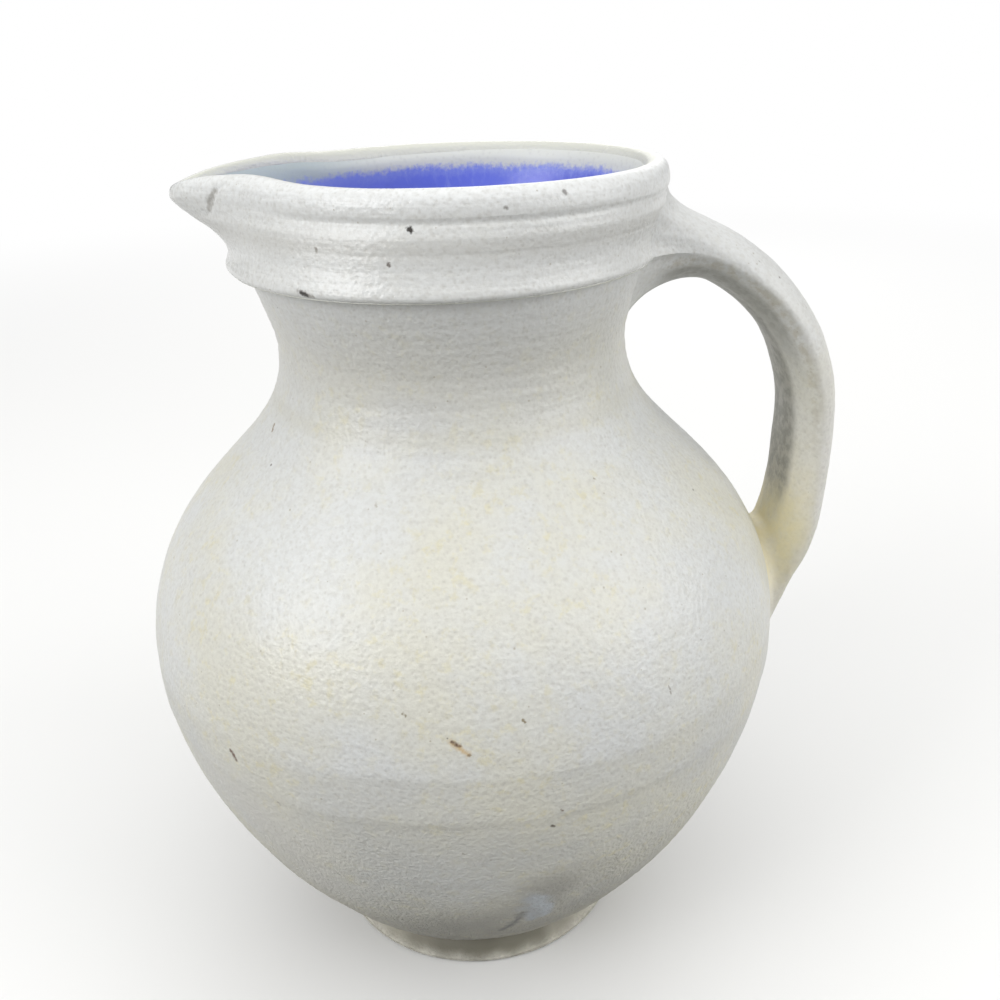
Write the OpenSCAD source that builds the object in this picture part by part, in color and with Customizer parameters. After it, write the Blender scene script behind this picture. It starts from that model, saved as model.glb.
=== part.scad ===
// Salt-glazed stoneware pitcher: a turned foot, a thrown wall of base, belly, shoulder and neck, a
// collar drawn out into a spout, a pulled strap handle with its two clay joints, a blue glaze inside.
// The origin is the middle of the foot on the table. The spout points to -X and the handle to +X.

/* [Whole jug] */
// Height from the table to the crest of the lip
jug_h = 200; // [190:1:215]
// Thickness of the thrown clay wall
wall_t = 6; // [4:0.5:7]
// Thickness of the blue glaze coat inside
glaze_t = 0.5; // [0.3:0.1:1]

/* [Foot] */
// Diameter of the foot's flared edge
foot_d = 79.6; // [76:0.2:90]
// Height of the foot ring, up to its joint with the belly
foot_h = 6; // [4.5:0.5:9]
// Diameter of the groove where the foot ring meets the belly
foot_groove_d = 70.4; // [67:0.2:71]
// Height of the foot's worn edge
foot_edge_h = 1.2; // [0.8:0.1:2]
// Width of the flat ring that touches the table
foot_face_w = 9; // [6:0.5:10]
// Depth of the turned recess under the floor
recess_h = 3; // [1.5:0.5:4]

/* [Belly and neck] */
// Diameter of the belly where it lands on the foot ring
belly_base_d = 72.2; // [71.4:0.2:78]
// Widest diameter of the belly
belly_d = 156.8; // [145:0.2:165]
// Height of the widest part of the belly
belly_z = 88.4; // [82:0.2:95]
// Narrowest diameter of the neck
neck_d = 81.2; // [76:0.2:86]
// Drop from the crest to the narrowest part of the neck
neck_drop = 38.6; // [34:0.2:44]
// Diameter of the neck just under the ledge
neck_top_d = 90.4; // [88:0.2:92]

/* [Collar] */
// Height of the collar, from under its ledge to the crest
collar_h = 20.5; // [18:0.5:24]
// Diameter of the ledge
ledge_d = 94.8; // [93:0.2:98]
// Outer diameter of the lip
lip_d = 89.5; // [87:0.1:91.5]
// Inner diameter of the mouth
mouth_d = 78; // [75:0.2:80]
// Height of the lip's rounded top
lip_round_h = 3.8; // [3:0.1:4.5]
// Depth of the groove under the lip
groove_t = 0.9; // [0.4:0.1:1.4]
// Drop from the crest to the groove
groove_drop = 6.2; // [5.5:0.1:7.5]
// How far the mouth's middle moved towards the handle when the spout was drawn
mouth_shift = 4.5; // [2:0.1:6]
// Drop from the crest to the glaze's upper edge
glaze_drop = 5; // [4.2:0.1:7]

/* [Spout] */
// Distance from the jug's axis to the spout's tip
spout_reach = 60; // [54:0.5:66]
// Angle over which the spout falls back to half its reach
spout_angle = 16; // [13:0.5:22]
// How far the tip droops below the crest
tip_droop = 2.4; // [1:0.1:5]
// How far the lip rises beside the throat
side_rise = 1; // [0:0.1:2]
// Half the angle of rim that the spout takes up
throat_angle = 44; // [36:1:60]

/* [Handle] */
// How far the middle of the strap stands out beyond the belly's widest round
handle_out = 7.6; // [6:0.2:14]
// Drop from the crest to the middle of the strap's upper end
handle_drop = 16.6; // [15:0.2:20]
// Drop from the strap's upper end to where it is farthest out
handle_arch_h = 49.6; // [42:0.2:56]
// Drop from the widest part of the belly to the strap's lower end
handle_tail_drop = 6.4; // [0:0.2:12]
// Width of the strap at its upper end
strap_w = 29; // [23:0.5:34]
// Width of the strap at its lower end
strap_tail_w = 31; // [26:0.5:38]
// Thickness of the strap where it is farthest out
strap_t = 11.2; // [9:0.2:14]
// How far the upper joint's clay reaches along the strap
upper_joint_l = 24; // [16:1:30]
// How far the upper joint's clay spreads on the collar, each way
upper_joint_t = 6.5; // [3:0.1:8]
// How far the lower joint's clay reaches along the strap
lower_joint_l = 30; // [20:1:40]
// How far the lower joint's clay spreads sideways on the belly
lower_joint_t = 4.5; // [2:0.1:6]
// Thickness of a joint's clay where it runs out on the strap
joint_edge_t = 0.5; // [0.4:0.1:1]

/* [Hidden] */
$fn = 96;

foot_r = foot_d / 2;
foot_inner_r = foot_r - foot_face_w - foot_edge_h;
foot_groove_r = foot_groove_d / 2;
belly_base_r = belly_base_d / 2;
belly_r = belly_d / 2;
neck_r = neck_d / 2;
neck_z = jug_h - neck_drop;
neck_top_r = neck_top_d / 2;
ledge_r = ledge_d / 2;
lip_r = lip_d / 2;
mouth_r = mouth_d / 2;
collar_z = jug_h - collar_h;
bore_r = neck_top_r - wall_t;
glaze_z = jug_h - glaze_drop;
lip_t = lip_r - mouth_r;
crest_r = mouth_r + lip_t / 2;
groove_z = jug_h - groove_drop;
lip_z = jug_h - lip_round_h;
handle_root_z = jug_h - handle_drop;
handle_reach = belly_r + handle_out;
handle_out_z = handle_root_z - handle_arch_h;
handle_tail_z = belly_z - handle_tail_drop;

// Steps along one curved stretch of an outline, round the collar, and along and round the strap
line_steps = 10;
collar_step = 4;
spout_step = 2;
strap_steps = 22;
strap_sides = 20;

// Slopes of the belly where it leaves the foot and of the neck where it meets the ledge
belly_base_slope = 1.07;
neck_top_slope = 0.28;
// How far each curve keeps the direction of its end, as a share of the curve's height
base_pull_share = 0.38;
belly_low_pull_share = 0.19;
belly_high_pull_share = 0.575;
neck_low_pull_share = 0.37;
neck_high_pull_share = 0.27;
ledge_pull_share = 0.33;

function mix(a, b, t) = a + (b - a) * t;
function ease(low, high, v) = let (t = max(0, min(1, (v - low) / (high - low)))) t * t * (3 - 2 * t);
function bezier(p, steps) = [for (i = [0 : steps]) let (t = i / steps, s = 1 - t)
    s * s * s * p[0] + 3 * t * s * s * p[1] + 3 * t * t * s * p[2] + t * t * t * p[3]];
function tail_of(list) = [for (i = [1 : len(list) - 1]) list[i]];
function without_last(list) = [for (i = [0 : len(list) - 2]) list[i]];
function reversed(list) = [for (i = [len(list) - 1 : -1 : 0]) list[i]];
function unit(v) = v / norm(v);

// The outer line of belly, shoulder and neck, as [radius, height], from the foot to the ledge
low_h = belly_z - foot_h;
high_h = neck_z - belly_z;
flare_h = collar_z - neck_z;
low_line = bezier([
    [belly_base_r, foot_h],
    [belly_base_r + belly_base_slope * base_pull_share * low_h, foot_h + base_pull_share * low_h],
    [belly_r, belly_z - belly_low_pull_share * low_h],
    [belly_r, belly_z]], line_steps);
high_line = bezier([
    [belly_r, belly_z],
    [belly_r, belly_z + belly_high_pull_share * high_h],
    [neck_r, neck_z - neck_low_pull_share * high_h],
    [neck_r, neck_z]], line_steps);
flare_line = bezier([
    [neck_r, neck_z],
    [neck_r, neck_z + neck_high_pull_share * flare_h],
    [neck_top_r - neck_top_slope * ledge_pull_share * flare_h, collar_z - ledge_pull_share * flare_h],
    [neck_top_r, collar_z]], line_steps / 2);
outer_line = concat(low_line, tail_of(high_line), tail_of(flare_line));

// The same line moved inwards by a thickness, square to itself. It stops short of the ledge by a
// share of that thickness, and the bore's own point follows.
bore_end_share = 0.33;
function inward(line, i) =
    let (d = unit(line[min(i + 1, len(line) - 1)] - line[max(i - 1, 0)])) [-d[1], d[0]];
function inset_line(t) =
    let (moved = [for (i = [0 : len(outer_line) - 1]) outer_line[i] + t * inward(outer_line, i)])
    [for (p = moved) if (p[1] < collar_z - bore_end_share * wall_t) p];
clay_inner_line = concat(inset_line(wall_t), [[bore_r, collar_z]]);
glaze_inner_line = concat(inset_line(wall_t + glaze_t), [[bore_r - glaze_t, collar_z]]);

module turned(points, name) {
    color(name) rotate_extrude() polygon(points);
}

// The flared foot: flat below, worn at the edge, hollowed above up to the groove
skirt_in_share = 0.5;
skirt_low_share = 0.2;
skirt_high_share = 0.4;
skirt_line = bezier([
    [foot_r, foot_edge_h],
    [mix(foot_r, foot_groove_r, skirt_in_share), mix(foot_edge_h, foot_h, skirt_low_share)],
    [foot_groove_r, mix(foot_edge_h, foot_h, skirt_high_share)],
    [foot_groove_r, foot_h]], line_steps / 2);

module foot_ring() {
    turned(concat([[foot_inner_r, 0], [foot_r - foot_edge_h, 0]], skirt_line, [[foot_inner_r, foot_h]]),
        "lightgray");
}

// Floor, belly, shoulder and neck in one wall, which the zones share out between them. The floor
// sits inside the foot ring. The base ends a share of the way up to the widest part, and belly and
// shoulder end shares of the way from there to the narrowest.
base_top_share = 0.46;
belly_top_share = 0.24;
shoulder_top_share = 0.73;
base_top_z = mix(foot_h, belly_z, base_top_share);
belly_top_z = mix(belly_z, neck_z, belly_top_share);
shoulder_top_z = mix(belly_z, neck_z, shoulder_top_share);
module wall_zone(low, high, name) {
    intersection() {
        turned(concat(
            [[0, recess_h], [foot_inner_r, recess_h], [foot_inner_r, foot_h]],
            outer_line,
            reversed(clay_inner_line),
            [[0, clay_inner_line[0][1]]]), name);
        translate([0, 0, low]) cylinder(d = 2 * belly_d, h = high - low);
    }
}

module base() {
    wall_zone(0, base_top_z, "gainsboro");
}

module belly() {
    wall_zone(base_top_z, belly_top_z, "oldlace");
}

module shoulder() {
    wall_zone(belly_top_z, shoulder_top_z, "floralwhite");
}

module neck() {
    wall_zone(shoulder_top_z, jug_h, "linen");
}

module glaze_lining() {
    turned(concat(
        [[0, clay_inner_line[0][1]]],
        clay_inner_line,
        reversed(glaze_inner_line),
        [[0, glaze_inner_line[0][1]]]), "royalblue");
}

// The collar's section as rows of [radius, height, share of the spout's pull].
// The wall is given by shares of the collar's height and of the step from lip to ledge, the groove
// by shares of its depth, up or down and inwards.
collar_wall_shares = [[0, 0.85], [0.045, 1], [0.11, 0.92], [0.2, 0.58], [0.45, 0.28]];
groove_shares = [[-1, 0.1], [0, 1], [0.8, 0.3]];
lip_step = 30;
// The spout's pull on the outer wall low and high and on the inner wall, and the shares of the
// collar's height between which it grows
low_pull_share = 0.1;
lip_pull_share = 0.87;
inner_pull_share = 0.99;
spout_pull = (spout_reach - (lip_r - mouth_shift)) / lip_pull_share;
pull_from_share = 0.15;
pull_to_share = 0.85;
inner_pull_to_share = 0.9;

function rise(z) = (z - collar_z) / collar_h;
function outer_pull(z) =
    mix(low_pull_share, lip_pull_share, ease(pull_from_share, pull_to_share, rise(z)));
function inner_pull(z) = inner_pull_share * ease(0, inner_pull_to_share, rise(z));
wall_rows = [for (s = collar_wall_shares)
    let (z = collar_z + s[0] * collar_h) [mix(lip_r, ledge_r, s[1]), z, outer_pull(z)]];
groove_rows = [for (g = groove_shares)
    let (z = groove_z + g[0] * groove_t) [lip_r - g[1] * groove_t, z, outer_pull(z)]];
function lip_row(a) = [
    crest_r + lip_t / 2 * cos(a),
    lip_z + lip_round_h * sin(a),
    mix(lip_pull_share, inner_pull(lip_z), a / 180)];
outer_rows = concat(wall_rows, groove_rows, [for (a = [0 : lip_step : 90]) lip_row(a)]);
inner_lip_rows = [for (a = [90 + lip_step : lip_step : 180]) lip_row(a)];
// As many rows inside as outside, so that a cut end can be closed by strips across the wall
inner_count = len(outer_rows) - len(inner_lip_rows);
inner_rows = [for (i = [0 : inner_count - 1]) let (z = mix(glaze_z, collar_z, i / (inner_count - 1)))
    [mix(mouth_r, bore_r, 1 - rise(z)), z, inner_pull(z)]];
coat_rows = [for (r = inner_rows) [r[0] - glaze_t, r[1], r[2]]];

// A row's point at azimuth a: a circle about the shifted mouth, plus the spout's bell-shaped pull.
// The mouth is shifted, the tip droops and the sides rise from a share of the collar's height up.
shift_from_share = 0.1;
shift_to_share = 0.8;
droop_from_share = 0.37;
side_from_share = 0.3;
// The bell is wider at the collar's foot by this factor
bell_foot_share = 1.6;
// Half-widths of the droop and of each side's rise, and how far from the tip a side rises most
droop_angle = 8.5;
side_angle = 14;
side_away_angle = 27;
function bell(v) = 1 / (1 + v * v);
function mound(v) = exp(-v * v);
function row_radius(row, u, a, away) =
    let (c = mouth_shift * ease(shift_from_share, shift_to_share, u))
    c * cos(a) + sqrt(pow(row[0], 2) - pow(c * sin(a), 2))
        + spout_pull * row[2] * bell(away / (spout_angle * mix(bell_foot_share, 1, u)));
function row_height(row, u, away) = row[1]
    - tip_droop * max(0, (u - droop_from_share) / (1 - droop_from_share)) * mound(away / droop_angle)
    + side_rise * ease(side_from_share, 1, u) * mound((away - side_away_angle) / side_angle);
function row_point(row, a) =
    let (u = rise(row[1]), away = 180 - abs(a), r = row_radius(row, u, a, away))
    [r * cos(a), r * sin(a), row_height(row, u, away)];

// A closed skin over rings of points, all with as many points. Strips across each end close it,
// or it goes round and closes on itself.
function quad(p, q, r, s, turned) = turned ? [[p, q, s], [p, s, r]] : [[p, q, r], [q, s, r]];
function side_faces(count, n, bands, turned) = [for (i = [0 : bands - 1], j = [0 : n - 1])
    let (k = (j + 1) % n, p = i * n, q = (i + 1) % count * n)
    each quad(p + j, p + k, q + j, q + k, turned)];
function end_faces(n, at, flip) = [for (j = [0 : n / 2 - 2])
    let (p = at + j, q = p + 1, r = at + n - 2 - j, s = r + 1)
    each (flip ? [[p, q, r], [p, r, s]] : [[r, q, p], [s, r, p]])];
module skin(rings, round_trip = false, turned = false) {
    count = len(rings);
    n = len(rings[0]);
    polyhedron(
        points = [for (ring = rings) each ring],
        faces = round_trip ? side_faces(count, n, count, turned)
            : concat(side_faces(count, n, count - 1, turned), end_faces(n, 0, false),
                end_faces(n, (count - 1) * n, true)));
}
// Azimuths from the one side of the spout round by the handle, and across the spout
function fan(from, to, step) = let (count = ceil((to - from) / step))
    [for (i = [0 : count]) mix(from, to, i / count)];
collar_fan = fan(throat_angle - 180, 180 - throat_angle, collar_step);
spout_fan = fan(180 - throat_angle, 180 + throat_angle, spout_step);
function swept_rows(rows, fan) = [for (a = fan) [for (r = rows) row_point(r, a > 180 ? a - 360 : a)]];

collar_section = concat(outer_rows, inner_lip_rows, inner_rows);

module rim_collar() {
    color("whitesmoke") skin(swept_rows(collar_section, collar_fan));
}

module spout() {
    color("ivory") skin(swept_rows(collar_section, spout_fan));
}

module rim_glaze() {
    color("mediumblue")
    skin(swept_rows(concat(reversed(inner_rows), coat_rows), concat(without_last(collar_fan),
        without_last(spout_fan))), round_trip = true, turned = true);
}

// The jug without its hollow, which the handle and its joints are cut to. Of the collar it has
// the side that faces the handle.
core_r = mouth_r / 2;
root_angle = 60;
core_rows = [for (i = [len(outer_rows) - 1 : -1 : 0])
    [core_r, mix(collar_z, jug_h, i / (len(outer_rows) - 1)), 0]];
module filled_jug() {
    rotate_extrude() polygon(concat([[0, foot_h]], outer_line, [[0, collar_z]]));
    skin(swept_rows(concat(outer_rows, core_rows), fan(-root_angle, root_angle, collar_step)));
}

// The middle line of the strap in the XZ plane, in two curves that meet at the farthest point
tail_h = handle_out_z - handle_tail_z;
root_x = crest_r;
root_tilt_share = -0.03;
root_pull_share = 0.2;
arch_pull_share = 0.85;
lower_pull_share = 0.59;
tail_pull_share = 0.44;
// How deep the strap's end sinks into the belly, as a share of its thickness
tail_sink_share = 0.25;
tail_x = belly_r - tail_sink_share * strap_t;
strap_line = concat(
    bezier([
        [root_x, handle_root_z - root_tilt_share * handle_arch_h],
        [mix(root_x, handle_reach, root_pull_share), handle_root_z + root_tilt_share * handle_arch_h],
        [handle_reach, handle_out_z + arch_pull_share * handle_arch_h],
        [handle_reach, handle_out_z]], strap_steps),
    tail_of(bezier([
        [handle_reach, handle_out_z],
        [handle_reach, handle_out_z - lower_pull_share * tail_h],
        [mix(tail_x, handle_reach, tail_pull_share), handle_tail_z + tail_pull_share * tail_h],
        [tail_x, handle_tail_z]], strap_steps)));
strap_count = len(strap_line);

function along(i) = i / (strap_count - 1);
function step_out(i) =
    let (d = unit(strap_line[min(i + 1, strap_count - 1)] - strap_line[max(i - 1, 0)])) [-d[1], d[0]];
// The section is a dome outside. Inside, its sides slant in to a narrower face with full corners.
// The strap is thickest at its root. Towards its end it widens, thins, hugs the belly's round and
// runs out in a round tongue. The section can be grown by a thickness and a width.
dome_power = 2.1;
corner_power = 2.6;
inner_face_share = 0.7;
slant_to_share = 0.86;
root_thick_share = 0.155;
root_thick_to_share = 0.5;
widen_from_share = 0.45;
thin_from_share = 0.72;
thinning_share = 0.55;
tongue_from_share = 0.84;
tongue_share = 0.88;
function tongue(s) =
    sqrt(1 - pow(tongue_share * max(0, (s - tongue_from_share) / (1 - tongue_from_share)), 2));
function full(v, power) = sign(v) * pow(abs(v), 2 / power);
function strap_ring(i, more_t, more_w) =
    let (n = step_out(i), s = along(i), thin = ease(thin_from_share, 1, s),
        root = 1 - ease(0, root_thick_to_share, s),
        a = strap_t / 2 * (1 + root_thick_share * root - thinning_share * thin) + more_t,
        b = (mix(strap_w, strap_tail_w, ease(widen_from_share, 1, s)) / 2 + more_w) * tongue(s),
        narrowing = (1 - inner_face_share) * (1 - ease(slant_to_share, 1, s)))
    [for (k = [0 : strap_sides - 1])
        let (u = 360 * k / strap_sides, power = cos(u) > 0 ? dome_power : corner_power,
            depth = full(cos(u), power), y = b * full(sin(u), power) * (1 - narrowing * max(0, -depth)),
            p = strap_line[i] + a * depth * n)
        [p[0] - thin * y * y / belly_d, y, p[1]]];

module strap() {
    skin([for (i = [0 : strap_count - 1]) strap_ring(i, 0, 0)]);
}

module strap_handle() {
    color("antiquewhite") difference() {
        strap();
        filled_jug();
    }
}

// The clay of a joint: the strap's own form grown towards the jug, less the strap and the jug
joint_spread_share = 1.5;
function reach_from(i, j) = j <= i ? 0 : norm(strap_line[j] - strap_line[j - 1]) + reach_from(i, j - 1);

module upper_joint() {
    hidden_l = ledge_r - root_x;
    last = min([for (i = [2 : strap_count - 1]) if (reach_from(0, i) > upper_joint_l + hidden_l) i]);
    color("linen") difference() {
        skin([for (i = [0 : last])
            let (q = 1 - reach_from(0, i) / reach_from(0, last), more = upper_joint_t * q * q)
            strap_ring(i, joint_edge_t + more, joint_edge_t + joint_spread_share * more)]);
        strap();
        filled_jug();
    }
}

module lower_joint() {
    end = strap_count - 1;
    first = max([for (i = [2 : end]) if (reach_from(i, end) > lower_joint_l) i]);
    color("linen") difference() {
        skin([for (i = [first : end]) let (q = reach_from(first, i) / reach_from(first, end))
            strap_ring(i, joint_edge_t, joint_edge_t + lower_joint_t * q)]);
        strap();
        filled_jug();
    }
}

foot_ring();
base();
belly();
shoulder();
neck();
rim_collar();
spout();
strap_handle();
upper_joint();
lower_joint();
glaze_lining();
rim_glaze();
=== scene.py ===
from math import cos, radians, sin

import bpy
import numpy as np
from mathutils import Matrix, Vector


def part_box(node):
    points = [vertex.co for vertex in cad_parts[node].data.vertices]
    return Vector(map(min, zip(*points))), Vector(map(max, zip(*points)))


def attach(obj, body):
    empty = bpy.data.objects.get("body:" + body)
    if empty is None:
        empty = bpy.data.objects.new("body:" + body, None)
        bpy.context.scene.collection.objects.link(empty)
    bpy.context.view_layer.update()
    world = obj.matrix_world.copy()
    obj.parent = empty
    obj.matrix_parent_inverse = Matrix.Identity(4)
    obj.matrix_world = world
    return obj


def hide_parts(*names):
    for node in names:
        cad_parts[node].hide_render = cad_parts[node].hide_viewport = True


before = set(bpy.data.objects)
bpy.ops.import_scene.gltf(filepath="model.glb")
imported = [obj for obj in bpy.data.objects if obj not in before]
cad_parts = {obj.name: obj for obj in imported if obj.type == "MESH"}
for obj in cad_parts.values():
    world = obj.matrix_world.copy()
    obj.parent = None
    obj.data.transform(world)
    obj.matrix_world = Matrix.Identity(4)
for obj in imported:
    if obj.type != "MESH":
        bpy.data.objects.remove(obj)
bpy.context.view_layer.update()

print("frame loaded:", ", ".join(sorted(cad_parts)))

# All shapes are worked out in millimetres and put into the meshes in metres.


def addObject(name, data):
    thing = bpy.data.objects.new(name, data)
    bpy.context.scene.collection.objects.link(thing)
    return thing


# ---- camera ----

cameraView = {
    "lens": 36.42,
    "sensor": 36.0,
    "place": (0.0, -233.02, 225.15),
    "pitchDown": 24.794,
    "roll": 1.934,
    "yaw": 2.446,
}


def makeCamera(view):
    # looks along +Y, turned by the yaw, dipped by the pitch, then rolled about its own line of sight
    yaw, pitch, roll = (radians(view[k]) for k in ("yaw", "pitchDown", "roll"))
    right = Vector((cos(yaw), -sin(yaw), 0))
    forward = Vector((cos(pitch) * sin(yaw), cos(pitch) * cos(yaw), -sin(pitch)))
    up = Vector((sin(pitch) * sin(yaw), sin(pitch) * cos(yaw), cos(pitch)))
    rolledRight = cos(roll) * right - sin(roll) * up
    rolledUp = sin(roll) * right + cos(roll) * up
    data = bpy.data.cameras.new("photoCamera")
    data.sensor_width, data.lens = view["sensor"], view["lens"]
    data.clip_start, data.clip_end = 0.01, 50
    camera = addObject("photoCamera", data)
    camera.matrix_world = Matrix((rolledRight, rolledUp, -forward)).transposed().to_4x4()
    camera.location = Vector(view["place"]) * 0.001
    bpy.context.scene.camera = camera


makeCamera(cameraView)
print("camera placed")


# ---- small tools for shapes ----

def mix(a, b, t):
    return a + (b - a) * t


def ease(low, high, v):
    # 0 below low, 1 above high, and an S between them
    t = np.clip((v - low) / (high - low), 0, 1)
    return t * t * (3 - 2 * t)


def bell(v, width):
    return np.exp(-(v / width) ** 2)


def unit(v):
    return v / np.linalg.norm(v, axis=-1, keepdims=True)


def fromTip(points):
    # degrees round the pot from the spout's tip
    return 180 - np.abs(np.degrees(np.arctan2(points[..., 1], points[..., 0])))


def distanceAlong(line):
    # the way from a line's first point to each of its points
    return np.concatenate([[0], np.cumsum(np.linalg.norm(np.diff(line, axis=0), axis=1))])


def bezier(points, t):
    # cubic curve from the first to the last of four points, for every t at once
    p = [np.asarray(q, float) for q in points]
    t = np.asarray(t, float)[..., None]
    s = 1 - t
    return s ** 3 * p[0] + 3 * t * s * s * p[1] + 3 * t * t * s * p[2] + t ** 3 * p[3]


def evenly(line, count):
    # the same line with count points at even distances along it
    line = np.asarray(line, float)
    along = distanceAlong(line[:, :2])
    wanted = np.linspace(0, along[-1], count)
    return np.stack([np.interp(wanted, along, line[:, i]) for i in range(line.shape[1])], 1)


def softLine(points, count):
    # a smooth line through all the points: each stretch is a cubic whose ends point at the neighbours
    p = np.asarray(points, float)
    ends = np.concatenate([[2 * p[0] - p[1]], p, [2 * p[-1] - p[-2]]])
    tangent = (ends[2:] - ends[:-2]) / 2
    t = np.linspace(0, 1, 24, endpoint=False)
    stretches = [bezier([p[i], p[i] + tangent[i] / 3, p[i + 1] - tangent[i + 1] / 3, p[i + 1]], t)
                 for i in range(len(p) - 1)]
    return evenly(np.concatenate(stretches + [p[-1:]]), count)


def cornerValues(corner, seed):
    # a repeatable number from -1 to 1 for every whole-number corner: its indices multiplied, mixed and cut
    i, j, k = (corner[..., a].astype(np.int64) for a in range(3))
    h = (i * 73856093) ^ (j * 19349663) ^ (k * 83492791) ^ (seed * 2654435761)
    h = ((h ^ (h >> 13)) * 1274126177) & 0xFFFFFFFF
    h = ((h ^ (h >> 16)) * 2246822519) & 0xFFFFFFFF
    return (h >> 8) / float(1 << 23) - 1


def clayNoise(points, cell, seed):
    # smooth noise of about -1 to 1: slopes at the corners of a grid of cells, blended by a quintic S
    q = points / np.asarray(cell, float)
    low = np.floor(q)
    f = q - low
    w = f * f * f * (f * (f * 6 - 15) + 10)
    total = np.zeros(q.shape[:-1])
    for corner in np.ndindex(2, 2, 2):
        c = np.array(corner)
        slope = sum(cornerValues(low + c, seed * 3 + a) * (f[..., a] - c[a]) for a in range(3))
        total += slope * np.prod(np.where(c == 1, w, 1 - w), axis=-1)
    return total * 1.7


def gridNormals(grid, closedRows):
    # direction across the rows crossed with direction along them, of length 1; columns always close
    along = np.roll(grid, -1, 1) - np.roll(grid, 1, 1)
    if closedRows:
        across = np.roll(grid, -1, 0) - np.roll(grid, 1, 0)
    else:
        across = np.gradient(grid, axis=0)
    n = np.cross(along, across)
    return n / np.maximum(np.linalg.norm(n, axis=-1, keepdims=True), 1e-9)


def pushOut(grid, height, closedRows=False):
    # every point moved along the surface's own normal by its height
    return grid + gridNormals(grid, closedRows) * height[..., None]


def revolved(line, azimuths):
    # radius and height of each row carried round all azimuths
    r, z = line[:, 0][:, None], line[:, 1][:, None]
    return np.stack([r * np.cos(azimuths), r * np.sin(azimuths), z + 0 * azimuths], -1)


def makePiece(name, grid, material, closedRows, marks=None):
    # quads between neighbouring rows and columns; open rows end in a pole at the middle of the last ring
    rows, cols = grid.shape[:2]
    points = grid.reshape(-1, 3)
    bands = rows if closedRows else rows - 1
    i = (np.arange(bands) * cols)[:, None]
    j = np.arange(cols)[None, :]
    k = (j + 1) % cols
    up = ((np.arange(bands) + 1) % rows * cols)[:, None]
    quads = np.stack([i + j, i + k, up + k, up + j], -1).reshape(-1, 4)
    fans = np.zeros((0, 3), int)
    if not closedRows:
        points = np.concatenate([points, [grid[0].mean(0)], [grid[-1].mean(0)]])
        first, last = rows * cols, rows * cols + 1
        top = (rows - 1) * cols
        fans = np.concatenate([
            np.stack([j[0] * 0 + first, k[0], j[0]], -1), np.stack([j[0] * 0 + last, top + j[0], top + k[0]], -1)])
    # the sum of the tetrahedra from the origin is the volume, and it tells which way the faces look
    halves = np.concatenate([quads[:, [0, 1, 2]], quads[:, [0, 2, 3]], fans])
    a, b, c = (points[halves[:, n]] for n in range(3))
    if np.einsum("ij,ij->i", a, np.cross(b, c)).sum() < 0:
        quads, fans = quads[:, ::-1], fans[:, ::-1]
    mesh = bpy.data.meshes.new(name)
    mesh.vertices.add(len(points))
    mesh.vertices.foreach_set("co", (points * 0.001).astype(np.float32).ravel())
    loops = np.concatenate([quads.ravel(), fans.ravel()]).astype(np.int32)
    mesh.loops.add(len(loops))
    mesh.loops.foreach_set("vertex_index", loops)
    starts = np.concatenate([np.arange(len(quads)) * 4, len(quads) * 4 + np.arange(len(fans)) * 3])
    mesh.polygons.add(len(starts))
    mesh.polygons.foreach_set("loop_start", starts.astype(np.int32))
    mesh.polygons.foreach_set("use_smooth", np.ones(len(starts), bool))
    mesh.update(calc_edges=True)
    for label, values in (marks or {}).items():
        spot = mesh.attributes.new(label, "FLOAT", "POINT")
        spot.data.foreach_set("value", np.resize(values.ravel(), len(points)).astype(np.float32))
    mesh.set_sharp_from_angle(angle=radians(50))
    mesh.materials.append(material)
    print(f"{name}: {len(quads) * 2 + len(fans)} triangles")
    return addObject(name, mesh)


# ---- node groups shared by the finishes ----

def put(tree, kind, inputs=None, **settings):
    # one node, with its settings, and each input either joined or set
    node = tree.nodes.new("ShaderNode" + kind)
    for label, value in settings.items():
        setattr(node, label, value)
    for label, value in (inputs or {}).items():
        if isinstance(value, bpy.types.NodeSocket):
            tree.links.new(value, node.inputs[label])
        else:
            node.inputs[label].default_value = value
    return node


def calc(tree, operation, a, b=0.0, c=0.0, clamp=False):
    return put(tree, "Math", {0: a, 1: b, 2: c}, operation=operation, use_clamp=clamp).outputs[0]


def times(tree, a, b):
    return calc(tree, "MULTIPLY", a, b)


def vectorCalc(tree, operation, a, b=(0, 0, 0)):
    # the result of a sum on vectors, which is a single number for a dot product or a length
    node = put(tree, "VectorMath", {0: a, 1: b}, operation=operation)
    return node.outputs["Value" if operation in ("DOT_PRODUCT", "LENGTH") else "Vector"]


def noise(tree, place, scale, detail, roughness=0.5):
    return put(tree, "TexNoise", {"Vector": place, "Scale": scale, "Detail": detail,
                                  "Roughness": roughness}).outputs["Fac"]


def stepUp(tree, value, low, high):
    # 0 where the value is under low, 1 where it is over high
    return put(tree, "MapRange", {"Value": value, "From Min": low, "From Max": high},
               interpolation_type="SMOOTHSTEP").outputs["Result"]


def straight(tree, value, low, high, start=0.0, end=1.0):
    # from start to end while the value goes from low to high
    return put(tree, "MapRange", {"Value": value, "From Min": low, "From Max": high, "To Min": start,
                                  "To Max": end}).outputs["Result"]


def waver(tree, cloud, share, base):
    # the base, raised and lowered by a share of the noise's distance from its middle
    return calc(tree, "MULTIPLY_ADD", calc(tree, "SUBTRACT", cloud, 0.5), share, base)


def blendColour(tree, share, *colours):
    # each of the two colours is a socket or three numbers
    a, b = (c if isinstance(c, bpy.types.NodeSocket) else (*c, 1.0) for c in colours)
    return put(tree, "Mix", {0: share, 6: a, 7: b}, data_type="RGBA").outputs[2]


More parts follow.
